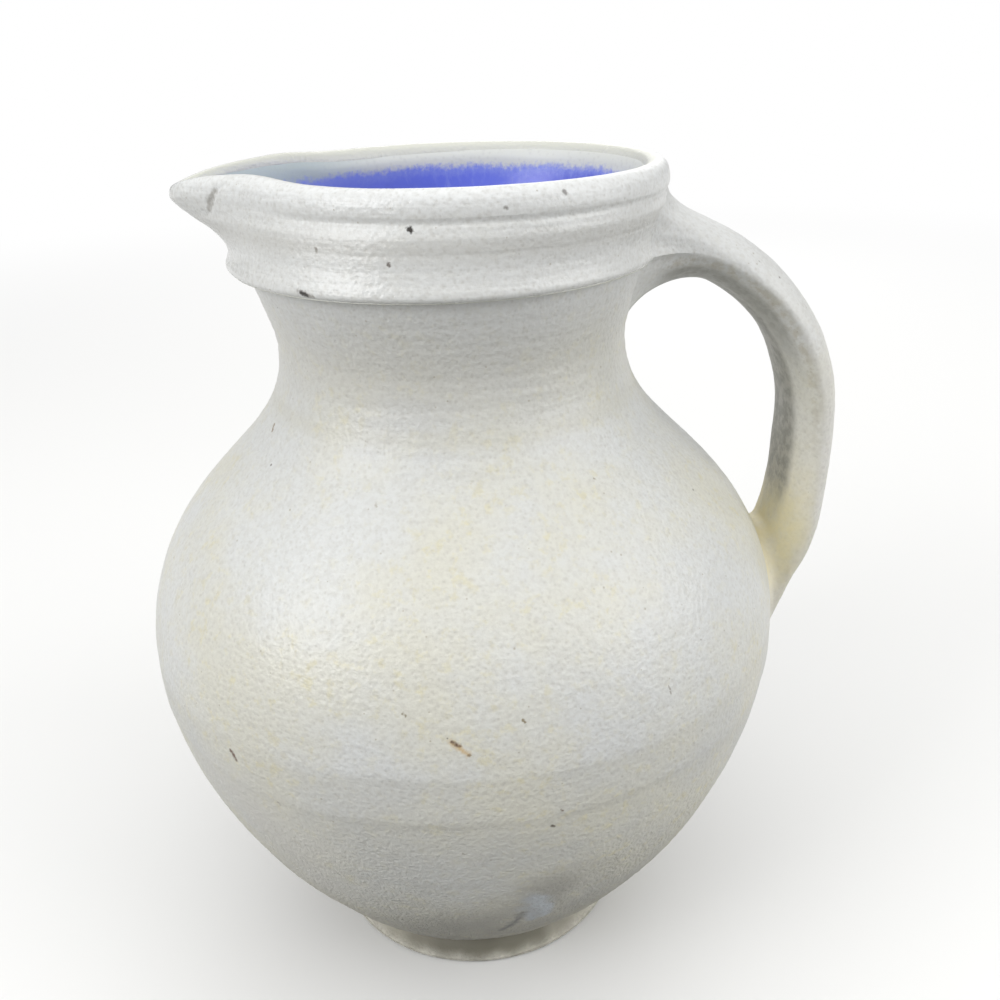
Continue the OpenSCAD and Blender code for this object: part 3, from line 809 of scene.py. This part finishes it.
def blueFinish(name, finish):
    # blue that runs in upright streaks, paler to the spout, deeper to the handle and lower down, and breaks
    # into the pale body at a speckled edge
    material, tree, shader = newMaterial(name)
    place = put(tree, "TexCoord").outputs["Object"]
    parts = put(tree, "SeparateXYZ", {0: place}).outputs
    flat = put(tree, "CombineXYZ", {0: parts["X"], 1: parts["Y"]}).outputs[0]
    outwards = vectorCalc(tree, "NORMALIZE", flat)
    slow = put(tree, "CombineXYZ", {2: times(tree, parts["Z"], 6.0)}).outputs[0]
    streaks = noise(tree, vectorCalc(tree, "ADD", outwards, slow), 26.0, 4.0, 0.65)
    thinner = times(tree, stepUp(tree, parts["X"], 0.000, -0.034), 0.46)
    thicker = stepUp(tree, parts["X"], 0.008, 0.036)
    fewer = calc(tree, "MULTIPLY_ADD", thicker, -0.30, 0.45)
    running = times(tree, stepUp(tree, streaks, 0.50, 0.74), fewer)
    colour = blendColour(tree, calc(tree, "MAXIMUM", thinner, running), finish["blue"], finish["pale"])
    depth = calc(tree, "MAXIMUM", stepUp(tree, parts["Z"], 0.185, 0.02), times(tree, thicker, 0.6))
    colour = blendColour(tree, depth, colour, finish["deep"])
    level = waver(tree, noise(tree, place, 900.0, 3.0, 0.7), 0.0034, meshValue(tree, "glazeLevel"))
    level = waver(tree, streaks, 0.0014, level)
    level = waver(tree, noise(tree, outwards, 3.2, 2.0), 0.0030, level)
    band = stepUp(tree, level, finish["edge"] - 0.0007, finish["edge"] + 0.0014)
    paler = times(tree, stepUp(tree, level, finish["edge"] - 0.0030, finish["edge"]), 0.6)
    colour = blendColour(tree, paler, colour, finish["pale"])
    peel = useGroup(tree, "peel", {"Position": place, "Pit Spacing": 0.0013, "Swell": 0.5})
    # painted shade in the pits of the pale band
    cream = blendColour(tree, times(tree, peel["Hollows"], 0.2), finish["cream"], (0.50, 0.49, 0.45))
    cream = blendColour(tree, times(tree, stepUp(tree, parts["X"], -0.010, -0.036), 0.8), cream, finish["shadow"])
    colour = blendColour(tree, band, colour, cream)
    tree.links.new(colour, shader.inputs["Base Color"])
    rough = straight(tree, band, 0.0, 1.0, finish["roughness"], 0.42)
    tree.links.new(rough, shader.inputs["Roughness"])
    skin = put(tree, "Bump", {"Height": peel["Height"], "Strength": 1.0, "Distance": 0.00003})
    tree.links.new(skin.outputs["Normal"], shader.inputs["Normal"])
    return material


bodyMaterial = stonewareFinish("saltGlazedBody", bodyFinish)
collarMaterial = stonewareFinish("saltGlazedCollar", collarFinish)
footMaterial = stonewareFinish("bareFootClay", footFinish)
handleMaterial = stonewareFinish("saltGlazedStrap", handleFinish)
liningMaterial = blueFinish("blueLiningGlaze", glazeFinish)
print("finishes made")


# ---- foot ring ----

footRing = {
    "columns": 480,
    "skirt": [(39.8, 1.2), (37.5, 2.16), (35.2, 3.12), (35.2, 6.0)],
    "wornEdge": [(37.9, 0.02), (38.7, 0.12), (39.35, 0.5), (39.75, 1.0), (39.7, 1.45)],
    "chips": 0.16,
}


def makeFootRing(shape):
    # closed section: flat underneath, a worn edge, the flared skirt, the joint and the recess's wall
    inner = wall["recess"][0]
    skirt = bezier(shape["skirt"], np.linspace(0, 1, 44))
    worn = softLine(shape["wornEdge"], 18)
    under = np.stack([np.linspace(inner + 0.6, 37.7, 14), np.full(14, 0.0)], 1)
    inside = softLine([(inner, 6.0), (inner, 3.0), (inner, 0.8), (inner + 0.2, 0.25), (inner + 0.55, 0.02)], 20)
    roof = np.stack([np.linspace(35.2, inner, 8)[1:-1], np.full(6, 6.0)], 1)
    section = np.concatenate([under, worn, skirt[2:], roof, inside[:-1]])
    azimuths = np.linspace(-np.pi, np.pi, shape["columns"], endpoint=False)
    grid = revolved(section, azimuths)
    radius = np.hypot(grid[..., 0], grid[..., 1])
    outside = (grid[..., 2] < 5.6) & (radius > 34)
    relief = 0.10 * (clayNoise(grid, 24, 21) - 0.5) + 0.05 * clayNoise(grid, 5, 22) + 0.035 * clayNoise(grid, 1.9, 23)
    relief -= shape["chips"] * np.clip(clayNoise(grid, 3.3, 24) - 0.35, 0, 1) * ease(36.5, 39, radius)
    relief += 0.03 * ringLines(grid, 1.1, 25)
    grid = pushOut(grid, np.where(outside, np.minimum(relief, 0.05) * ease(0.0, 0.8, grid[..., 2]), 0), True)
    return makePiece("turnedFootRing", grid, footMaterial, True)


footPiece = makeFootRing(footRing)
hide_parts("foot_ring")
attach(footPiece, "root")


# ---- the thrown wall, in the four zones of the solids ----

def zoneHeights():
    # the heights at which one zone's solid passes into the next
    names = ["base", "belly", "shoulder", "neck"]
    return names, [wall["footJoint"][1]] + [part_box(n)[1].z * 1000 for n in names[:-1]] + [wall["ledge"][1]]


def makeWall(shape):
    # one revolved sheet with its relief, cut at the zones' heights; each zone gets its inner wall and cut faces
    names, cuts = zoneHeights()
    azimuths = np.linspace(-np.pi, np.pi, shape["columns"], endpoint=False)
    along = distanceAlong(fullLine)
    spots = np.interp(cuts, fullLine[:, 1], along)
    rows, starts = [], [0]
    for name, low, high in zip(names, spots[:-1], spots[1:]):
        wanted = np.linspace(low, high, shape["outerRows"][name])
        part = np.stack([np.interp(wanted, along, fullLine[:, i]) for i in range(2)], 1)
        rows.append(part if not rows else part[1:])
        starts.append(starts[-1] + shape["outerRows"][name] - 1)
    line = np.concatenate(rows)
    # the lowest rows tuck in to the groove above the foot
    tuck = ease(8.4, 6.0, line[:, 1]) * (wallRadius(6.0) - shape["grooveRadius"])
    line[:, 0] -= tuck
    sheet = revolved(line, azimuths)
    fade = ease(6.0, 7.5, sheet[..., 2]) * ease(179.5, 178.6, sheet[..., 2])
    skin = pushOut(sheet, wallRelief(sheet) * fade)
    innerLine = inset(fullLine, shape["thickness"])
    innerLine = innerLine[innerLine[:, 1] < shape["ledge"][1] - 2.2]
    innerLine = np.concatenate([innerLine, [[shape["ledge"][0] - shape["thickness"], shape["ledge"][1]]]])
    pieces = []
    for n, name in enumerate(names):
        outer = skin[starts[n]:starts[n + 1] + 1]
        low, high = cuts[n], cuts[n + 1]
        inside = innerLine[(innerLine[:, 1] > low + 1e-3) & (innerLine[:, 1] < high - 1e-3)]
        ends = [[np.interp(high, innerLine[:, 1], innerLine[:, 0]), high],
                [np.interp(low, innerLine[:, 1], innerLine[:, 0]), low]]
        if name == "base":
            recessRadius, recessHeight = shape["recess"]
            floorHeight = innerLine[0, 1]
            wanted = np.concatenate([ends[:1], evenly(inside[::-1], shape["innerRows"])[1:], [[24, floorHeight],
                                     [12, floorHeight], [1, floorHeight]]])
            closing = np.array([[1, recessHeight], [10, recessHeight], [20, recessHeight], [27, recessHeight],
                                [recessRadius, recessHeight], [recessRadius, 6.0], [33, 6.0]])
            grid = np.concatenate([revolved(closing, azimuths), outer, revolved(wanted, azimuths)])
            piece = makePiece("thrownBase", grid, bodyMaterial, False)
        else:
            wanted = evenly(np.concatenate([ends[:1], inside[::-1], ends[1:]]), shape["innerRows"])
            grid = np.concatenate([outer, revolved(wanted, azimuths)])
            piece = makePiece("thrown" + name.capitalize(), grid, bodyMaterial, True)
        pieces.append((piece, name))
    return pieces


for wallPiece, zone in makeWall(wall):
    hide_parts(zone)
    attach(wallPiece, "root")


# ---- collar and spout ----

def makeCollar(shape):
    # the closed section carried round by drawnOut, then pushed out by its relief above the joint
    azimuths = spoutAzimuths(shape["columns"])
    section = collarSection()
    grid = drawnOut(section, azimuths)
    hidden = (grid[..., 2] < shape["foot"] + 0.05)
    relief = np.where(hidden, 0, collarRelief(grid))
    # the lip's inner half takes the colour of the thin glaze that runs over it
    inside = ease(-2, 4, np.arange(len(section)) - int(np.argmax(section[:, 1])))[:, None] + 0 * azimuths
    return makePiece("collarAndSpout", pushOut(grid, relief, True), collarMaterial, True, {"inside": inside})


rimPiece = makeCollar(collar)
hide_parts("rim_collar", "spout")
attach(rimPiece, "root")


# ---- strap handle with its two joints ----

strap = {
    "columns": 190,
    "rows": 210,
    "filletRows": 36,
    "root": (41.875, 183.4),
    "outermost": (86.0, 133.8),
    "tail": (75.6, 82.0),
    "tilt": -0.03,
    "width": 29.0,
    "tailWidth": 31.0,
    "thickness": 11.2,
    "rootThick": 0.155,      # the root is thicker by this share
    "dome": 2.1,             # roundness of the outer half
    "corner": 2.6,           # roundness of the inner half
    "innerFace": 0.7,        # the inner face is this much of the strap's width
    "rootLanding": {"middle": 180.2, "halfHeight": 17.0, "halfAngle": 28.0, "reach": (0.20, 0.215),
                    "leave": (0.40, 0.26), "arrive": (0.50, 0.42)},
    "tailLanding": {"middle": 90.0, "halfHeight": 19.5, "halfAngle": 13.8, "reach": (0.86, 0.71),
                    "leave": (0.16, 0.50), "arrive": (0.42, 0.45)},
    "sunk": 0.45,
}


def strapLine(s):
    # two cubic curves, from the collar over the arch to the outermost point, and down to the belly
    (x0, z0), (x1, z1), (x2, z2) = (strap[k] for k in ("root", "outermost", "tail"))
    arch, drop, tilt = z0 - z1, z1 - z2, strap["tilt"]
    upper = bezier([(x0, z0 - tilt * arch), (mix(x0, x1, 0.20), z0 + tilt * arch), (x1, z1 + 0.85 * arch), (x1, z1)],
                   np.clip(s * 2, 0, 1))
    lower = bezier([(x1, z1), (x1, z1 - 0.59 * drop), (mix(x2, x1, 0.44), z2 + 0.44 * drop), (x2, z2)],
                   np.clip(s * 2 - 1, 0, 1))
    return np.where((s < 0.5)[..., None], upper, lower)


def fullCorner(v, power):
    return np.sign(v) * np.abs(v) ** (2 / power)


def strapSurface(s, turn):
    # a dome outside, at turn 0; inside, the sides slant in to a narrower face with full corners; the strap is
    # thickest at its root, and widens and thins towards its tail
    line = strapLine(s)
    d = unit(strapLine(np.clip(s + 0.002, 0, 1)) - strapLine(np.clip(s - 0.002, 0, 1)))
    thin = ease(0.72, 1, s)
    half = strap["thickness"] / 2 * (1 + strap["rootThick"] * ease(0.5, 0, s) - 0.55 * thin)
    side = mix(strap["width"], strap["tailWidth"], ease(0.45, 1, s)) / 2
    power = np.where(np.cos(turn) > 0, strap["dome"], strap["corner"])
    depth = fullCorner(np.cos(turn), power)
    slant = 1 - (1 - strap["innerFace"]) * ease(1, 0.86, s) * np.maximum(-depth, 0)
    out, y = half * depth, side * fullCorner(np.sin(turn), power) * slant
    x = line[..., 0] - out * d[..., 1] - thin * y * y / (2 * wall["widest"][0])
    return np.stack([x, y, line[..., 1] + out * d[..., 0]], -1), np.stack([d[..., 0], 0 * y, d[..., 1]], -1)


def jugSurface(azimuth, z):
    # the jug's outside with its relief, and its normal, for the clay that the strap is smeared on to
    band = outerBand(0.0)
    bandRadius = np.interp(z, band[:, 2], band[:, 0])
    radius = np.where(z < wall["ledge"][1], wallRadius(z), bandRadius)
    shift = mix(1.0, 0.985, (z > wall["ledge"][1]) * np.abs(azimuth))
    slope = np.interp(z, fullLine[:, 1], np.gradient(fullLine[:, 0], fullLine[:, 1]))
    slope = np.where(z < wall["ledge"][1], slope, 0)
    normal = unit(np.stack([np.cos(azimuth), np.sin(azimuth), -slope], -1))
    point = np.stack([radius * shift * np.cos(azimuth), radius * shift * np.sin(azimuth), z], -1)
    return point + wallRelief(point)[..., None] * normal, normal


def landingRows(landing, turn, flip):
    # from a ring that lies in the jug's skin, along the skin towards the strap's middle, then out along the
    # strap: one cubic curve for each column
    azimuth = np.radians(landing["halfAngle"]) * fullCorner(np.sin(turn), strap["corner"])
    z = landing["middle"] + (-1 if flip else 1) * landing["halfHeight"] * fullCorner(np.cos(turn), strap["corner"])
    foot, normal = jugSurface(azimuth, z)
    foot = foot - strap["sunk"] * normal
    inward = foot.mean(0) - foot
    inward -= (inward * normal).sum(-1, keepdims=True) * normal
    inside = (1 - np.cos(turn)) / 2
    s = mix(*landing["reach"], inside)
    edge, direction = strapSurface(s, turn)
    direction = direction * (-1 if flip else 1)
    span = np.linalg.norm(edge - foot, axis=-1, keepdims=True)
    a, b = (mix(*landing[k], inside)[:, None] for k in ("leave", "arrive"))
    t = np.linspace(0, 1, strap["filletRows"], endpoint=False)[:, None] + 0 * turn
    return bezier([foot, foot + a * span * unit(inward), edge - b * span * direction, edge], t), s


def makeStrap(shape):
    # three lengths of rings end to end: the upper landing, the strap itself and the lower landing
    turn = np.linspace(0, 2 * np.pi, shape["columns"], endpoint=False)
    rootRows, rootS = landingRows(shape["rootLanding"], turn, False)
    tailRows, tailS = landingRows(shape["tailLanding"], turn, True)
    t = np.linspace(0, 1, shape["rows"])[:, None]
    s = mix(rootS, tailS, t)
    body = strapSurface(s, turn + 0 * s)[0]
    grid = np.concatenate([rootRows, body, tailRows[::-1]])
    share = np.ones(len(grid))
    share[:10] = ease(0, 9, np.arange(10))
    share[-10:] = ease(9, 0, np.arange(10))
    relief = 0.35 * (clayNoise(grid, 26, 31) - 0.3) + 0.16 * clayNoise(grid, 9, 32)
    relief += 0.05 * clayNoise(grid, 2.3, 33) - 0.03 * np.abs(clayNoise(grid, 3.4, 34))
    # lines drawn along the strap by the wet hand that pulled it
    across = np.stack([30 * np.cos(turn), 30 * np.sin(turn), 0 * turn], -1)[None] + 0 * grid
    across[..., 2] = np.linspace(0, 12, len(grid))[:, None]
    relief += 0.07 * clayNoise(across, 5, 35) * ease(44, 60, grid[..., 0])
    grid = pushOut(grid, relief * share[:, None])
    # both ends close inside the jug's wall
    first, last = grid[0].mean(0) - np.array([2.4, 0, 0]), grid[-1].mean(0) - np.array([2.0, 0, 0])
    start = [mix(grid[0], first, t)[None] for t in (0.9, 0.4)]
    finish = [mix(grid[-1], last, t)[None] for t in (0.4, 0.9)]
    grid = np.concatenate(start + [grid] + finish)
    z, x = grid[..., 2], grid[..., 0]
    facing = 0.5 - 0.5 * np.cos(turn)
    # where the colours of this strap lie: facing is 0 outside and 1 inside
    onArch = ease(146, 166, z) * ease(44, 50, x)
    ochre = bell(z - 112, 13) * ease(0.30, 0.70, facing) + 0.45 * bell(z - 98, 10)
    shade = np.maximum(ease(0.82, 0.95, facing) * ease(110, 124, z), 0.72 * onArch * ease(0.58, 0.70, facing))
    fromSide = np.abs(np.degrees(np.arccos(np.cos(turn))) - 98)
    ridge = bell(fromSide, 8) * ease(122, 156, z) * ease(44, 50, x)
    return makePiece("pulledStrap", grid, handleMaterial, False, {"ochre": ochre, "ridge": ridge, "shade": shade})


strapPiece = makeStrap(strap)
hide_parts("strap_handle", "upper_joint", "lower_joint")
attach(strapPiece, "root")


# ---- blue glaze inside ----

lining = {
    "columns": 420,
    "rows": 190,
    "coat": 0.5,
    "topAngle": 150,
    "spiral": 0.22,
}


def makeLining(shape):
    # from the floor's middle up the glazed side over the mouth's inner edge, and back down against the clay
    def side(coat, top):
        line = inset(fullLine, wall["thickness"] + coat)
        line = line[line[:, 1] < wall["ledge"][1] - 2.0]
        body = np.concatenate([[[0.6, line[0, 1]], [12, line[0, 1]], [24, line[0, 1]]], line[::12]])
        rows = [[r, z, 0.0] for r, z in body]
        rows += [innerCollar(z, coat) for z in (179.5, 183, 187, 190, 193)]
        for a in np.linspace(180, shape["topAngle"], 7):
            r, z, pull = lipPoint(a)
            thin = mix(coat, top, ease(180, shape["topAngle"], a))
            rows.append([r - thin, z, pull])
        return np.array(rows)

    section = np.concatenate([evenly(side(shape["coat"], -0.12), shape["rows"]), evenly(side(0.0, -0.4), 46)[::-1]])
    grid = drawnOut(section, spoutAzimuths(shape["columns"]))
    relief = 0.12 * clayNoise(grid, 40, 41) + 0.03 * clayNoise(grid, 3, 42)
    relief += shape["spiral"] * ringLines(grid, 9, 43) * ease(188, 165, grid[..., 2]) + 0.03 * ringLines(grid, 2, 44)
    relief[shape["rows"] - 4:] = 0
    grid = pushOut(grid, relief * ease(0, 6, np.hypot(grid[..., 0], grid[..., 1])))
    # the blue is measured by the height before the spout droops, and stays lower in the spout
    level = 0.001 * (section[:, 1][:, None] + 2.0 * bell(fromTip(grid), 22))
    return makePiece("blueLining", grid, liningMaterial, False, {"glazeLevel": level})


liningPiece = makeLining(lining)
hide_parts("glaze_lining", "rim_glaze")
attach(liningPiece, "root")
print("pieces made")


# ---- floor, lamps and world ----

studio = {
    "floorSeen": (0.86, 0.86, 0.85),
    "floorBounce": (0.20, 0.20, 0.20),
    "skyLevel": 1.20,
    "lamps": [
        # name, place and aim in metres, size in metres, radiance
        ("leftWindow", (-0.68, -0.43, 0.52), (0, 0, 0.11), (0.5, 0.5), 4.7),
        ("rightWindow", (0.85, -0.35, 0.45), (0, 0, 0.11), (0.7, 0.7), 2.6),
        ("frontTop", (0.10, -0.62, 0.90), (0, 0, 0.11), (0.2, 0.2), 1.6),
        ("backFill", (0.20, 0.95, 0.55), (0, 0, 0.11), (0.6, 0.6), 1.6),
    ],
}


def makeFloor():
    # a wide disc: rings of points whose radius grows towards the edge
    radii = np.array([0.001, 0.5, 2.0, 6.0, 12.0]) * 1000
    turns = np.linspace(0, 2 * np.pi, 96, endpoint=False)
    grid = revolved(np.stack([radii, 0 * radii], 1), turns)
    points = grid.reshape(-1, 3) * 0.001
    rings, cols = grid.shape[:2]
    i = (np.arange(rings - 1) * cols)[:, None]
    j = np.arange(cols)[None, :]
    k = (j + 1) % cols
    quads = np.stack([i + j, i + cols + j, i + cols + k, i + k], -1).reshape(-1, 4)
    mesh = bpy.data.meshes.new("paleFloor")
    mesh.from_pydata(points.tolist(), [], quads.tolist() + [list(range(cols))])
    material, tree, shader = newMaterial("paleFloor")
    seen = put(tree, "LightPath").outputs
    direct = calc(tree, "MAXIMUM", calc(tree, "MAXIMUM", seen["Is Camera Ray"], seen["Is Glossy Ray"]),
                  seen["Is Transmission Ray"])
    tree.links.new(blendColour(tree, direct, studio["floorBounce"], studio["floorSeen"]), shader.inputs["Base Color"])
    shader.inputs["Roughness"].default_value = 0.95
    shader.inputs["Specular IOR Level"].default_value = 0.1
    where = put(tree, "TexCoord").outputs["Object"]
    distance = vectorCalc(tree, "LENGTH", where)
    glow = put(tree, "Emission", {"Color": (1, 1, 1, 1), "Strength": 1.0}).outputs[0]
    share = times(tree, stepUp(tree, distance, 0.30, 1.3), direct)
    blend = put(tree, "MixShader", {0: share, 1: shader.outputs[0], 2: glow})
    tree.links.new(blend.outputs[0], tree.nodes["Material Output"].inputs["Surface"])
    mesh.materials.append(material)
    floor = addObject("paleFloor", mesh)


def makeLamps():
    # square lamps that face their aim; energy is radiance times pi times area
    for name, place, aim, (wide, tall), radiance in studio["lamps"]:
        data = bpy.data.lights.new(name, "AREA")
        data.shape, data.size, data.size_y = "RECTANGLE", wide, tall
        data.energy = radiance * np.pi * wide * tall
        lamp = addObject(name, data)
        lamp.location = place
        lamp.rotation_mode = "QUATERNION"
        lamp.rotation_quaternion = (Vector(aim) - Vector(place)).to_track_quat("-Z", "Y")


def makeWorld():
    # white to what is seen; as light, full overhead and fading to nothing at the horizon
    world = bpy.data.worlds.new("plainRoom")
    bpy.context.scene.world = world
    world.use_nodes = True
    tree = world.node_tree
    tree.nodes.clear()
    seen = put(tree, "LightPath").outputs
    direct = calc(tree, "MAXIMUM", seen["Is Camera Ray"], seen["Is Transmission Ray"])
    upward = put(tree, "SeparateXYZ", {0: put(tree, "TexCoord").outputs["Generated"]}).outputs["Z"]
    sky = times(tree, calc(tree, "MAXIMUM", upward, 0.0), studio["skyLevel"])
    strength = put(tree, "Mix", {0: direct, 2: sky, 3: 1.0}, data_type="FLOAT").outputs[0]
    room = put(tree, "Background", {"Color": (1, 1, 1, 1), "Strength": strength})
    put(tree, "OutputWorld", {"Surface": room.outputs[0]})


makeFloor()
makeLamps()
makeWorld()
bpy.context.scene.view_settings.view_transform = "Standard"
print("studio lit")
